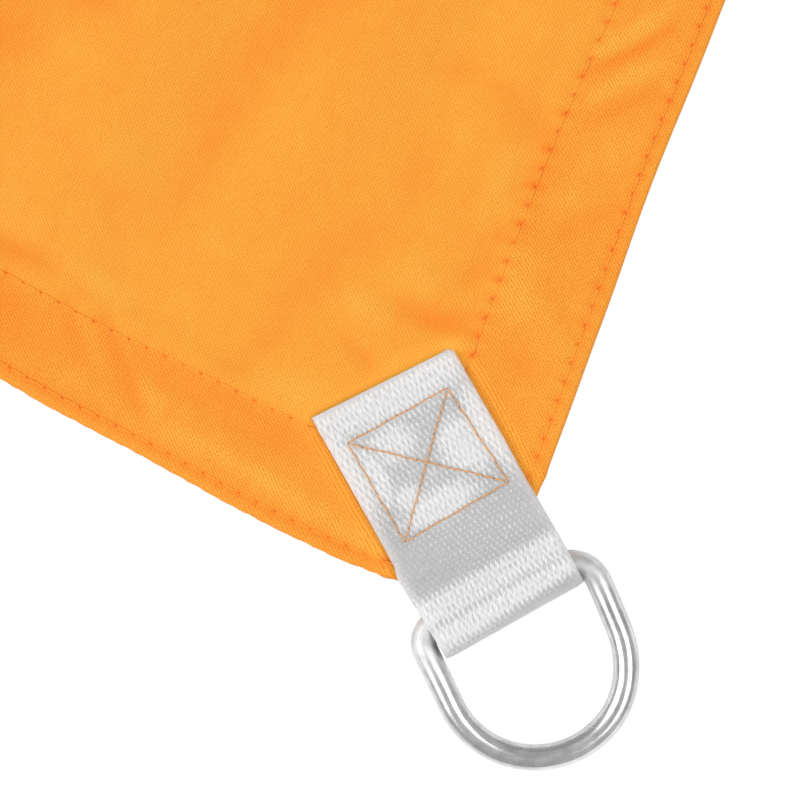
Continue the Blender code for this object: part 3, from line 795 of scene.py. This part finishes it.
# painted shade where the tone is above 0, painted light where it is below
colour = twill.mixed(twill.spread(painted_shade_and_tone, 0.0, 1.0), colour, PAINTED_SHADE_COLOUR)
colour = twill.mixed(twill.spread(painted_shade_and_tone, -1.0, 0.0, 1.0, 0.0), colour, PAINTED_LIGHT_COLOUR)
# painted shade in the needle holes
colour = twill.mixed(hole_shade, colour, HOLE_SHADE_COLOUR)
grain = twill.add(weave, twill.spread(yarns, 0.25, 0.75, -0.40, 0.40))
grain = twill.times(grain, twill.spread(hem_value, 0.0, 1.0, 1.0, 1.55), 0.5)
colour = twill.mixed(1.0, colour, twill.mixed(grain, GRAIN_DARK, GRAIN_LIGHT), "MULTIPLY")
# painted light beside the webbing and along the edges
painted_lightening = twill.mixed(twill.point_value("beside_webbing"), WHITE, PAINTED_LIGHT_BESIDE)
twill.link(twill.mixed(1.0, colour, painted_lightening, "MULTIPLY"), "Base Color")
twill.bump(0.7, 0.00004, twill.add(weave, yarns))
twill.cover(cloth, "cloth", "sail_cloth")

# ---------------------------------------------------------------------------------------------------------
# Hem stitching. Two rows of lockstitch round the whole sail in orange polyester thread, one close to the
# edge and one along the turned-in edge of the hem. Each stitch dips into its needle holes.
THREAD_RADIUS = 0.00015
HEM_STITCH_DIP = 0.00020
THREAD_COLOUR = (0.97, 0.395, 0.050, 1.0)
THREAD_DULL_COLOUR = (0.96, 0.350, 0.036, 1.0)
# painted shade at the stitch ends, where the thread goes down into its needle holes
THREAD_HOLE_SHADE_COLOUR = (0.72, 0.120, 0.010, 1.0)
THREAD_TWIST = (50.0, 12.566)  # radians of the ply's turn along one stitch, and round it
WEBBING_CLEARANCE = 0.001  # the rows stop this far short of the cut corner
EDGES = (
    # name, the plain square's corner where it starts, and its direction
    ("east", (1.0, -1.0), (0.0, 1.0)),
    ("north", (1.0, 1.0), (-1.0, 0.0)),
    ("west", (-1.0, 1.0), (0.0, -1.0)),
    ("south", (-1.0, -1.0), (1.0, 0.0)),
)


def new_stitch(name, length, radius, dip):
    """One stitch along X, from needle hole to needle hole: a thread that bows over the cloth."""
    shape = bmesh.new()
    bmesh.ops.create_grid(shape, x_segments=6, y_segments=6, size=0.5)
    thread_map = shape.loops.layers.uv.new("thread")
    for face in shape.faces:
        for loop in face.loops:
            loop[thread_map].uv = (loop.vert.co.x + 0.5, loop.vert.co.y + 0.5)
    for vertex in shape.verts:
        share, turn = vertex.co.x + 0.5, (vertex.co.y + 0.5) * 2 * math.pi
        swell = radius * (0.55 + 0.45 * max(math.sin(math.pi * share), 0.0) ** 0.5)
        bow = radius - dip * (2 * share - 1) ** 4
        vertex.co = (length * (share - 0.5), swell * math.cos(turn), bow + swell * math.sin(turn))
    bmesh.ops.remove_doubles(shape, verts=shape.verts, dist=1e-7)
    bmesh.ops.holes_fill(shape, edges=shape.edges, sides=0)
    bmesh.ops.recalc_face_normals(shape, faces=shape.faces)
    return finished_mesh(name, shape)


def sew(shape, stitch, pitch, holes):
    """Adds a row of stitches to a bmesh, from needle hole to needle hole."""
    for start, end in zip(map(Vector, holes), map(Vector, holes[1:])):
        along = (end - start).normalized()
        across = Vector((0, 0, 1)).cross(along).normalized()
        turn = Matrix((along, across, along.cross(across))).transposed().to_4x4()
        stretch = Matrix.Diagonal(((end - start).length / pitch, 1.0, 1.0, 1.0))
        placed = stitch.copy()
        placed.transform(Matrix.Translation((start + end) / 2) @ turn @ stretch)
        shape.from_mesh(placed)
        bpy.data.meshes.remove(placed)


def thread_piece(name, shape, finish):
    """The stitches as one piece."""
    mesh = finished_mesh(name, shape)
    mesh.shade_smooth()
    thread = new_object(name, mesh)
    finish.cover(thread, "cloth")
    return thread


sewing = Finish("orange_thread", roughness=0.6, specular=0.15)
along_stitch, round_stitch = sewing.split(sewing.strip_map("thread"))[:2]
from_middle = sewing.maths("ABSOLUTE", sewing.maths("SUBTRACT", along_stitch, 0.5))
object_place = sewing.node("TexCoord", {}, output=3)
thread_noise = sewing.noise(object_place, (900.0, 900.0, 900.0))
colour = sewing.mixed(thread_noise, THREAD_DULL_COLOUR, THREAD_COLOUR)
# painted shade at the stitch ends, where the thread goes down into its needle holes
colour = sewing.mixed(sewing.spread(from_middle, 0.38, 0.46), colour, THREAD_HOLE_SHADE_COLOUR)
sewing.link(colour, "Base Color")
twist = sewing.times(along_stitch, THREAD_TWIST[0], sewing.times(round_stitch, THREAD_TWIST[1]))
sewing.bump(0.4, 0.00002, sewing.maths("SINE", twist))

hem_stitch = new_stitch("hem_stitch", STITCH_PITCH, THREAD_RADIUS, HEM_STITCH_DIP)
for name, start, direction in EDGES:
    inward = Vector((-direction[1], direction[0]))
    stitches = bmesh.new()
    for first_hole in (OUTER_START, INNER_START):
        alongs = np.arange(first_hole, 2 * HALF_SIDE - first_hole, STITCH_PITCH)
        line = np.array(start) + np.outer(alongs, direction)
        row_side, row_end = row_insets(line)[2:]
        inner_row = row_side if name in ("east", "west") else row_end
        row = OUTER_ROW if first_hole == OUTER_START else inner_row
        holes = cloth_top(line + np.outer(row * np.ones(len(line)), inward))
        for corner in CORNERS:
            out, side = out_and_side(corner, holes[:, :2])
            holes = holes[out < -CLOTH_END - WEBBING_CLEARANCE]
        sew(stitches, hem_stitch, STITCH_PITCH, holes)
    thread_piece("hem_stitches_" + name, stitches, sewing)

# ---------------------------------------------------------------------------------------------------------
# Webbing loops. A strip of silver-white polyester twill webbing, 30 mm wide, is folded round the bar of each
# D-ring. Its two legs are sewn over and under the corner of the cloth, and its ends are cut and sealed.
WEBBING_WIDTH = 0.0304
WEBBING_HALF_WIDTH = 0.0148
NOSE_REACH = 0.0064
CUT_SKEW = math.radians(2.7)
RAMP_START = 0.0088
WIRE_RADIUS = 0.0025
BAR_CENTRE_Z = WEBBING_THICKNESS + GAP + WIRE_RADIUS
LOOP_RADIUS = WIRE_RADIUS + GAP + WEBBING_THICKNESS / 2
UPPER_LEG_Z = CORNER_LIFT + HEM_THICKNESS + GAP + WEBBING_THICKNESS / 2
BOX_CORNERS = (
    # the corners of the sewn box in order round it: outward from the ring's bar, and to the left of that
    (-0.03965, -0.01183),
    (-0.03955, 0.01025),
    (-0.01792, 0.01174),
    (-0.01754, -0.01149),
)
BOX_SIDES = ((0, 1), (1, 2), (2, 3), (3, 0))
BOX_DIAGONALS = ((0, 2), (1, 3))
PUFF_HEIGHT = 0.00042
PUFF_WIDTH = 0.0030
THREAD_GROOVE = 0.00016
THREAD_GROOVE_WIDTH = 0.00055
# Across the webbing where it goes over the bar runs a shallow hollow
BAR_HOLLOW_DEPTH = 0.00018
BAR_HOLLOW_PLACE = -0.0005
BAR_HOLLOW_HALF_WIDTH = 0.0016
BAR_SLANT = 0.06
# Its edges are thinner and rounded off, and so are the corners of its cut ends
EDGE_ROLL_SHARE = 0.045
EDGE_ROLL_DEPTH = 0.00022
EDGE_ROLL_THINNING = 0.35
CUT_CORNER = 0.0011
# Where its end bends down it is painted paler, painted bounce light from the floor below
BOUNCE_LIGHT_PLACE = 0.0070
BOUNCE_LIGHT_HALF_WIDTH = 0.0034
# How far the two edges stand out beyond the even width, by place outward from the bar
LEFT_EDGE = (
    (-0.0466, 0.0006), (-0.0440, 0.0007), (-0.0200, 0.0007), (-0.0135, 0.0008), (-0.0112, 0.0014),
    (-0.0080, 0.0012), (-0.0040, 0.0010), (0.0, 0.0008), (0.0064, 0.0006),
)
RIGHT_EDGE = (
    (-0.0466, 0.0), (-0.0340, 0.0001), (-0.0260, 0.0002),
    (-0.0180, 0.0001), (-0.0060, 0.0002), (0.0064, 0.0001),
)
# Where the webbing is bent over its padding the yarns get long strokes of painted highlight. Where it lies
# flat they are dull, with small painted highlight dots.
PAINTED_HIGHLIGHTS = (
    # out, side, half_out, half_side, strength
    (-0.0450, 0.0000, 0.0090, 0.0320, 1.00),
    (-0.0360, -0.0138, 0.0165, 0.0044, 1.00),
    (-0.0300, 0.0140, 0.0130, 0.0048, 1.05),
    (-0.0350, -0.0045, 0.0062, 0.0078, 0.85),
    (-0.0310, -0.0104, 0.0085, 0.0036, 0.95),
    (-0.0285, 0.0085, 0.0085, 0.0080, 1.10),
    (-0.0205, -0.0020, 0.0048, 0.0115, 1.00),
    (-0.0245, -0.0065, 0.0038, 0.0040, 1.10),
    (-0.0110, 0.0040, 0.0085, 0.0130, 0.14),
    (-0.0290, 0.0000, 0.0200, 0.0200, 0.30),
)
# painted highlight bands across the climb over the bar; the negative one paints a darker line
RAMP_PAINTED_HIGHLIGHTS = (
    # out, half_out, strength, after the slant of the bar is taken off
    (-0.0028, 0.0042, 1.00),
    (0.0014, 0.0034, 1.05),
    (-0.0006, 0.0016, -0.28),
)
HIGHLIGHT_STEEPNESS = 1.6
PAINTED_HIGHLIGHT_END = 0.012  # how far past the upper leg its gleams reach
HIDDEN_HIGHLIGHT = 0.4  # of the rest of the strip
UPPER_FADE = 0.006  # past the upper leg, where its relief ends
HOLLOW_FADE = 0.0200  # the hollow over the bar fades from two to three of these along the strip
COURSE_ROUNDING = 0.0006
# Size of the mesh's cells in the loop that shows, and in the others
SHOWN_CELL = 0.00032
OTHER_CELL = 0.00062
# the yarn's plain grey, painted highlight dots, painted shade between strokes, painted highlight strokes
DULL_COLOUR = (0.485, 0.485, 0.487, 1.0)
DOT_HIGHLIGHT_COLOUR = (0.86, 0.86, 0.86, 1.0)
SHADED_COLOUR = (0.52, 0.52, 0.525, 1.0)
PAINTED_HIGHLIGHT_COLOUR = (0.92, 0.92, 0.92, 1.0)
# painted bounce light at the end's bend
BOUNCE_LIGHT_COLOUR = (0.86, 0.86, 0.86, 1.0)
SELVEDGE_COLOUR = (0.66, 0.66, 0.67, 1.0)
# a thin darker grey band along the cut ends
CUT_BAND_COLOUR = (0.58, 0.59, 0.61, 1.0)
YARN_BENDS = (0.0005, 0.0006, 0.0)  # how far the yarns stray across and along the strip
# The strokes lean by these shares of the way along the strip, the second only from the place that follows
STROKE_LEAN = 0.08
BAR_STROKE_LEAN = 0.30
BAR_STROKES_START = 0.036


def loop_course():
    """The middle line of the webbing's thickness, as rows of: outward from the bar, height, share of the
    bar's slant (1 where the webbing climbs over the bar and so runs parallel to it)."""
    climb = math.asin(LOOP_RADIUS / RAMP_START)
    nose_centre = NOSE_REACH - LOOP_RADIUS - WEBBING_THICKNESS / 2
    lower_leg_z = BAR_CENTRE_Z - LOOP_RADIUS
    course = [(-LEG_LENGTH, UPPER_LEG_Z, 0.0), (-LEG_LENGTH / 2, UPPER_LEG_Z, 0.0)]
    course.append((-RAMP_START, UPPER_LEG_Z, 1.0))
    for angle in np.linspace(climb, 0.0, 9):
        course.append((-LOOP_RADIUS * math.sin(angle), BAR_CENTRE_Z + LOOP_RADIUS * math.cos(angle), 1.0))
    for angle in np.linspace(0.0, math.pi, 37):
        out = nose_centre + LOOP_RADIUS * math.sin(angle)
        course.append((out, BAR_CENTRE_Z + LOOP_RADIUS * math.cos(angle), 0.0))
    return np.array(course + [(-LEG_LENGTH / 2, lower_leg_z, 0.0), (-LEG_LENGTH, lower_leg_z, 0.0)])


def loop_relief(out, side):
    """Height of the upper leg over its flat form: grooves along the sewn lines, and puffed fields between."""
    points = np.column_stack((out, side))
    lines = BOX_SIDES + BOX_DIAGONALS
    distances = [place_along(points, BOX_CORNERS[first], BOX_CORNERS[second])[1] for first, second in lines]
    nearest = np.min(distances, axis=0)
    puff = PUFF_HEIGHT * (1 - groove(nearest, PUFF_WIDTH))
    return puff - THREAD_GROOVE * groove(nearest, THREAD_GROOVE_WIDTH)


def fading(distance):
    """1 near the middle, falling evenly to 0 at a distance of 1."""
    return np.clip(HIGHLIGHT_STEEPNESS * (1 - distance), 0.0, 1.0)


def loop_painted_highlight(out, side):
    """How much painted highlight the yarns of the upper leg get."""
    painted_highlight = np.zeros(len(out))
    for at_out, at_side, half_out, half_side, strength in PAINTED_HIGHLIGHTS:
        away = np.hypot((out - at_out) / half_out, (side - at_side) / half_side)
        painted_highlight = np.maximum(painted_highlight, strength * fading(away))
    for at_out, half_out, strength in RAMP_PAINTED_HIGHLIGHTS:
        form = strength * fading(np.abs(out + BAR_SLANT * side - at_out) / half_out)
        painted_highlight = painted_highlight + form if strength < 0 else np.maximum(painted_highlight, form)
    return painted_highlight


def from_bar(corner, out, side):
    """X and Y of places outward and to the left of a corner's ring bar."""
    bar_centre, heading = loop_line(corner)
    x = bar_centre.x + heading.x * out - heading.y * side
    y = bar_centre.y + heading.y * out + heading.x * side
    return x, y


def make_webbing_loop(corner, cell):
    """The strip: a grid along its course and across its width, in place."""
    name, outward_deg, bar_out, bar_side, loop_skew_deg, ring_skew_deg = corner
    bar_slant = math.tan(math.radians(ring_skew_deg - loop_skew_deg))
    course = loop_course()
    lengths = path_lengths(course[:, :2])
    steps_along = round(lengths[-1] / cell)
    marks = np.linspace(0, lengths[-1], steps_along + 1)
    line = np.column_stack([np.interp(marks, lengths, column) for column in course.T])
    # its bends are rounded over the same length whatever the cell
    for _ in range(round(2.0 * (COURSE_ROUNDING / cell) ** 2)):
        line[1:-1] = (line[:-2] + 2 * line[1:-1] + line[2:]) / 4

    shape = bmesh.new()
    bmesh.ops.create_grid(shape, x_segments=steps_along, y_segments=round(WEBBING_WIDTH / cell), size=0.5)
    mesh = finished_mesh("webbing_loop_" + name, shape)
    along, across = read_points(mesh)[:, :2].T
    step = np.rint((along + 0.5) * steps_along).astype(int)
    out, height, slant = line[step].T
    place = marks[step]
    from_cut = np.minimum(place, lengths[-1] - place)
    upper = np.clip(1 - (place - LEG_LENGTH) / UPPER_FADE, 0.0, 1.0)
    # the edges wander, and the cut corners are a little rounded
    corner_round = 1 - np.sqrt(1 - np.clip(1 - from_cut / CUT_CORNER, 0.0, 1.0) ** 2)
    left = WEBBING_HALF_WIDTH + np.interp(out, *zip(*LEFT_EDGE))
    right = WEBBING_HALF_WIDTH + np.interp(out, *zip(*RIGHT_EDGE)) - CUT_CORNER * corner_round
    side = -left + (across + 0.5) * (left + right)
    edge_roll = np.clip((np.abs(across) - 0.5 + EDGE_ROLL_SHARE) / EDGE_ROLL_SHARE, 0.0, 1.0)
    over_bar = smooth_bump(np.abs(out + BAR_SLANT * side - BAR_HOLLOW_PLACE), BAR_HOLLOW_HALF_WIDTH)
    height += (loop_relief(out, side) - EDGE_ROLL_DEPTH * edge_roll**2) * upper
    height -= BAR_HOLLOW_DEPTH * over_bar * np.clip(3 - place / HOLLOW_FADE, 0.0, 1.0)
    # painted highlight on the upper leg; the rest of the strip gets a middling share
    painted_highlight = np.where(place < LEG_LENGTH + PAINTED_HIGHLIGHT_END, loop_painted_highlight(out, side), HIDDEN_HIGHLIGHT)
    # painted bounce light where the end bends down
    painted_bounce_light = smooth_bump(np.abs(out - BOUNCE_LIGHT_PLACE), BOUNCE_LIGHT_HALF_WIDTH)
    near_cut = np.clip(1 - from_cut / (LEG_LENGTH / 2), 0.0, 1.0)
    out += side * (math.tan(CUT_SKEW) * near_cut - bar_slant * slant)
    write_points(mesh, np.column_stack((*from_bar(corner, out, side), height)))

    strip_places = np.column_stack((side + WEBBING_WIDTH / 2, place))
    add_map(mesh, "strip", strip_places[face_corner_points(mesh)])
    add_point_values(mesh, "from_cut", from_cut)
    add_point_values(mesh, "from_selvedge", (0.5 - np.abs(across)) * WEBBING_WIDTH)
    add_point_values(mesh, "painted_highlight", painted_highlight)
    add_point_values(mesh, "painted_bounce_light", painted_bounce_light)
    shape = bmesh.new()
    shape.from_mesh(mesh)
    bmesh.ops.recalc_face_normals(shape, faces=shape.faces)
    shape.to_mesh(mesh)
    shape.free()
    mesh.shade_smooth()
    loop = new_object(mesh.name, mesh)
    add_thickness(loop, WEBBING_THICKNESS, 1 - EDGE_ROLL_THINNING * edge_roll, offset=0.0)
    return loop


# Twill webbing: rows of small dots where it lies flat, crossing strokes where it is bent; the dots and
# strokes are painted highlight.
webbing = Finish("silver_webbing", roughness=0.42, specular=0.45)
webbing.sockets["Subsurface Weight"].default_value = 0.75
webbing.sockets["Subsurface Radius"].default_value = (1.0, 1.0, 1.0)
webbing.sockets["Subsurface Scale"].default_value = 0.0030
strip_place = webbing.strip_map("strip")
across_strip, along_strip = webbing.split(strip_place)[:2]
bends = webbing.noise(strip_place, (420.0, 260.0, 1.0), output=1)
bending = {0: bends, 1: YARN_BENDS, 2: strip_place}
bent_place = webbing.node("VectorMath", bending, operation="MULTIPLY_ADD")
left_twill = webbing.wave(bent_place, -930.0, 290.0)
right_twill = webbing.wave(bent_place, 960.0, 800.0)
weft_rows = webbing.wave(bent_place, 30.0, 1090.0)
dots = webbing.times(weft_rows, 0.9, webbing.times(right_twill, 0.8, left_twill))
strokes = webbing.add(left_twill, webbing.wave(bent_place, 945.0, 255.0))
# the strokes lean a little, and more where the webbing climbs over the bar
over_bar = webbing.maths("MAXIMUM", webbing.maths("SUBTRACT", along_strip, BAR_STROKES_START), 0.0)
lean = webbing.times(over_bar, BAR_STROKE_LEAN, webbing.times(along_strip, STROKE_LEAN, across_strip))
leaning_place = webbing.node("CombineXYZ", {0: lean, 1: along_strip})
fibres = webbing.noise(leaning_place, (5600.0, 820.0, 1.0))
webbing.bump(0.9, 0.00003, webbing.times(fibres, 2.0, dots))
# painted highlight: few small dots where it is low, long bright strokes where it is high
painted_highlight = webbing.point_value("painted_highlight")
dot_highlight = webbing.times(webbing.spread(dots, 1.1, 2.5), webbing.spread(painted_highlight, 0.0, 0.14, 0.18, 0.52))
dot_highlight = webbing.add(dot_highlight, webbing.spread(fibres, 0.25, 0.75, -0.16, 0.16))
flat_yarn = webbing.mixed(dot_highlight, DULL_COLOUR, DOT_HIGHLIGHT_COLOUR)
# painted highlight strokes over painted shade
stroke_highlight = webbing.times(strokes, 0.14, webbing.spread(fibres, 0.25, 0.75, 0.06, 1.18))
highlighted_yarn = webbing.mixed(stroke_highlight, SHADED_COLOUR, PAINTED_HIGHLIGHT_COLOUR)
highlight_edge = webbing.times(strokes, 0.14, painted_highlight)
highlight_edge = webbing.add(highlight_edge, webbing.spread(fibres, 0.25, 0.75, -0.35, 0.35))
colour = webbing.mixed(webbing.spread(highlight_edge, 0.24, 0.92), flat_yarn, highlighted_yarn)
# the end's bend is painted paler with bounce light from the floor, the selvedges are darker, and the cut
# ends carry a thin darker grey band
colour = webbing.mixed(webbing.point_value("painted_bounce_light"), colour, BOUNCE_LIGHT_COLOUR)
selvedge = webbing.spread(webbing.point_value("from_selvedge"), 0.0006, 0.0016, 0.40, 0.0)
colour = webbing.mixed(selvedge, colour, SELVEDGE_COLOUR)
# a thin darker grey band along the cut ends
cut_band = webbing.spread(webbing.point_value("from_cut"), 0.0004, 0.0012, 0.85, 0.0)
webbing.link(webbing.mixed(cut_band, colour, CUT_BAND_COLOUR), "Base Color")

loops = {}
for corner in CORNERS:
    name = corner[0]
    loops[name] = make_webbing_loop(corner, SHOWN_CELL if name == "south_east" else OTHER_CELL)
    webbing.cover(loops[name], "webbing", "corner_loop_" + name)

# ---------------------------------------------------------------------------------------------------------
# Box-X stitching. Orange thread sewn through both legs of each loop and the cloth between them: a box and
# its two diagonals, in short tight stitches that sink into the webbing.
BOX_STITCH_PITCH = 0.00215
BOX_STITCH_DIP = 0.00012
BOX_THREAD_RADIUS = 0.00014
BOX_THREAD_COLOUR = (0.86, 0.385, 0.095, 1.0)
# painted shade at the stitch ends, where the thread sinks into its needle holes
BOX_THREAD_HOLE_SHADE_COLOUR = (0.44, 0.16, 0.035, 1.0)
BOX_THREAD_WANDER = 0.00009
# The diagonals stop this far short of the corners, and lie this much higher than the sides
DIAGONAL_GAP = 0.0008
DIAGONAL_LIFT = 0.00010


def box_row(index, start, end, gap):
    """The needle holes of one line of the box, outward and to the left of the bar."""
    start, end = np.array(start), np.array(end)
    length = np.linalg.norm(end - start)
    along = (end - start) / length
    start, end = start + gap * along, end - gap * along
    count = round(np.linalg.norm(end - start) / BOX_STITCH_PITCH)
    wander = BOX_THREAD_WANDER * np.sin(np.arange(count + 1) * 1.7 + index * 2.1)
    wander[0] = wander[-1] = 0.0
    aside = np.array((start[1] - end[1], end[0] - start[0])) / length
    return start + np.outer(np.linspace(0, 1, count + 1), end - start) + np.outer(wander, aside)


box_sewing = Finish("box_thread", roughness=0.45, specular=0.4)
along_stitch = box_sewing.split(box_sewing.strip_map("thread"))[0]
from_middle = box_sewing.maths("ABSOLUTE", box_sewing.maths("SUBTRACT", along_stitch, 0.5))
# painted shade at the stitch ends, where the thread sinks into its needle holes
stitch_end_shade = box_sewing.spread(from_middle, 0.33, 0.45)
box_sewing.link(box_sewing.mixed(stitch_end_shade, BOX_THREAD_COLOUR, BOX_THREAD_HOLE_SHADE_COLOUR), "Base Color")

box_stitch = new_stitch("box_stitch", BOX_STITCH_PITCH, BOX_THREAD_RADIUS, BOX_STITCH_DIP)
for corner in CORNERS:
    stitches = bmesh.new()
    for index, (first, second) in enumerate(BOX_SIDES + BOX_DIAGONALS):
        diagonal = index >= len(BOX_SIDES)
        out, side = box_row(index, BOX_CORNERS[first], BOX_CORNERS[second], DIAGONAL_GAP * diagonal).T
        height = UPPER_LEG_Z + WEBBING_THICKNESS / 2 - THREAD_GROOVE + DIAGONAL_LIFT * diagonal
        holes = np.column_stack((*from_bar(corner, out, side), np.full(len(out), height)))
        sew(stitches, box_stitch, BOX_STITCH_PITCH, holes)
    thread = thread_piece("box_stitches_" + corner[0], stitches, box_sewing)

# ---------------------------------------------------------------------------------------------------------
# D-rings. Each is one length of 5 mm stainless steel wire bent to a D and welded shut at the middle of its
# straight bar, then tumbled to a soft polish. The bar turns freely in the webbing.
RING_HALF_WIDTH = 0.0181
RING_HEIGHT = 0.0339
RING_CORNER_RADII = (0.0043, 0.0062)
RING_FLAT_PLACE = math.radians(75)
RING_FLAT_HALF_ANGLE = math.radians(50)
RING_FLAT_DEPTH = 0.00045
DULL_STEEL_COLOUR = (0.58, 0.58, 0.59, 1.0)
BRIGHT_STEEL_COLOUR = (0.88, 0.88, 0.88, 1.0)
BEND_REACH = (0.0030, 0.0110)  # outward from the bar, where the bends' rougher steel turns smooth
BEND_ROUGHNESS = 0.34


def ring_line():
    """The middle line of the D: the bar along Y through the origin, the round end towards +X."""
    round_centre_x = RING_HEIGHT - RING_HALF_WIDTH
    halves = []
    for radius, side in zip(RING_CORNER_RADII, (-1, 1)):
        half = [(0.0, y) for y in np.linspace(0.0, RING_HALF_WIDTH - radius, 9)[:-1]]
        for angle in np.linspace(0.0, math.pi / 2, 13):
            half.append((radius * (1 - math.cos(angle)), RING_HALF_WIDTH - radius * (1 - math.sin(angle))))
        half += [(x, RING_HALF_WIDTH) for x in np.linspace(radius, round_centre_x, 8)[1:-1]]
        for angle in np.linspace(math.pi / 2, 0.0, 25):
            across, along = math.sin(angle), math.cos(angle)
            half.append((round_centre_x + RING_HALF_WIDTH * along, RING_HALF_WIDTH * across))
        halves.append(np.array(half) * (1, side))
    line = np.concatenate((halves[0], halves[1][-2:0:-1]))
    # one side is bent in a little
    turn = np.arctan2(line[:, 1], line[:, 0] - round_centre_x)
    inward = RING_FLAT_DEPTH * smooth_bump(np.abs(turn - RING_FLAT_PLACE), RING_FLAT_HALF_ANGLE)
    return line - np.column_stack((np.cos(turn), np.sin(turn))) * inward[:, None]


def bent_wire(name, line):
    """A closed round wire along the line."""
    curve = bpy.data.curves.new(name, "CURVE")
    curve.dimensions = "3D"
    curve.bevel_depth = WIRE_RADIUS
    curve.bevel_resolution = 10
    wire = curve.splines.new("POLY")
    wire.points.add(len(line) - 1)
    for spline_point, (x, y) in zip(wire.points, line):
        spline_point.co = (x, y, 0.0, 1.0)
    wire.use_cyclic_u = True
    bent = new_object("bent_wire", curve)
    bpy.context.view_layer.update()
    mesh = bpy.data.meshes.new_from_object(bent)
    mesh.name = name
    bpy.data.objects.remove(bent)
    return mesh


# Steel: lines along the drawn wire, fine scratches, and blotches from the tumbling.
steel = Finish("ring_steel", roughness=0.24, metallic=1.0)
wire_place = steel.point_place("wire_place")
scratches = steel.noise(wire_place, (160.0, 3200.0, 3200.0), detail=3.0)
blotches = steel.noise(wire_place, (420.0, 420.0, 420.0), detail=3.0)
drawn_lines = steel.noise(wire_place, (28.0, 900.0, 900.0), detail=3.0)
marks = steel.times(blotches, 0.35, steel.times(drawn_lines, 0.65))
steel.link(steel.mixed(steel.spread(marks, 0.40, 0.60), DULL_STEEL_COLOUR, BRIGHT_STEEL_COLOUR), "Base Color")
rougher = steel.spread(steel.point_value("from_bar"), *BEND_REACH, BEND_ROUGHNESS, 0.0)
steel.link(steel.add(steel.spread(scratches, 0.3, 0.7, 0.17, 0.30), rougher), "Roughness")
steel.bump(0.35, 0.00003, scratches)

line = ring_line()
for corner in CORNERS:
    name, outward_deg, bar_out, bar_side, loop_skew_deg, ring_skew_deg = corner
    mesh = bent_wire("steel_ring_" + name, line)
    # where each point lies: along the wire, towards the ring's middle, and up
    wire_points = read_points(mesh)
    gaps = np.linalg.norm(wire_points[:, None, :2] - line[None, :, :], axis=2)
    nearest = gaps.argmin(axis=1)
    away = wire_points[:, :2] - line[nearest]
    to_middle = np.array((RING_HEIGHT / 2, 0.0)) - line[nearest]
    inward = np.sign(np.sum(to_middle * away, axis=1)) * np.linalg.norm(away, axis=1)
    wire_places = np.column_stack((path_lengths(line)[nearest], inward, wire_points[:, 2]))
    add_point_values(mesh, "wire_place", wire_places)
    add_point_values(mesh, "from_bar", line[nearest][:, 0])
    droop = math.asin((BAR_CENTRE_Z - WIRE_RADIUS) / RING_HEIGHT)
    turn = Matrix.Rotation(math.radians(outward_deg + ring_skew_deg), 4, "Z") @ Matrix.Rotation(droop, 4, "Y")
    mesh.transform(Matrix.Translation((*loop_line(corner)[0], BAR_CENTRE_Z)) @ turn)
    mesh.shade_smooth()
    steel.cover(new_object(mesh.name, mesh), "ring", "d_ring_" + name)
